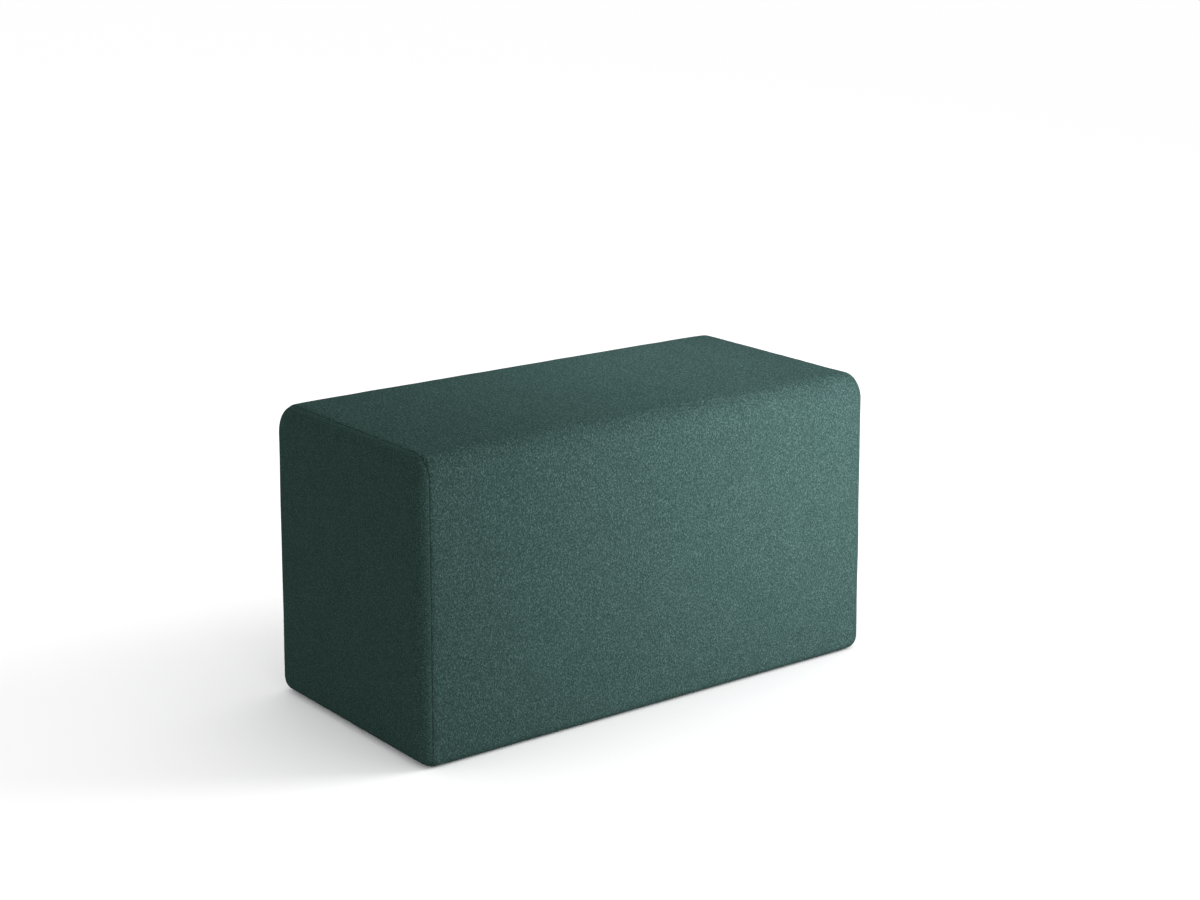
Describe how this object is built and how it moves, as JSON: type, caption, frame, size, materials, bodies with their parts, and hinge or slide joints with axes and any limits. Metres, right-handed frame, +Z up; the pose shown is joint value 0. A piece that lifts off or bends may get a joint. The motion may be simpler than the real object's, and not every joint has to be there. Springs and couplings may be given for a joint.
{
  "type": "rectangular block pouf stool",
  "caption": "Low rectangular pouf stool: a firm filled block wrapped in one band of felted cloth, with a cloth panel sewn into each end. It stands on the floor.",
  "frame": {"origin": "on the floor, under the middle of the body", "axes": "+X along the length, -Y is the front, +Z up"},
  "size_m": [0.843, 0.4094, 0.453],
  "materials": {
    "felted_cloth": "matt felted wool cloth in a dark teal green, finely flecked with lighter and darker fibres"
  },
  "bodies": {
    "root": {"wrap_band": "felted_cloth", "end_panel_left": "felted_cloth", "end_panel_right": "felted_cloth"}
  },
  "joints": []
}
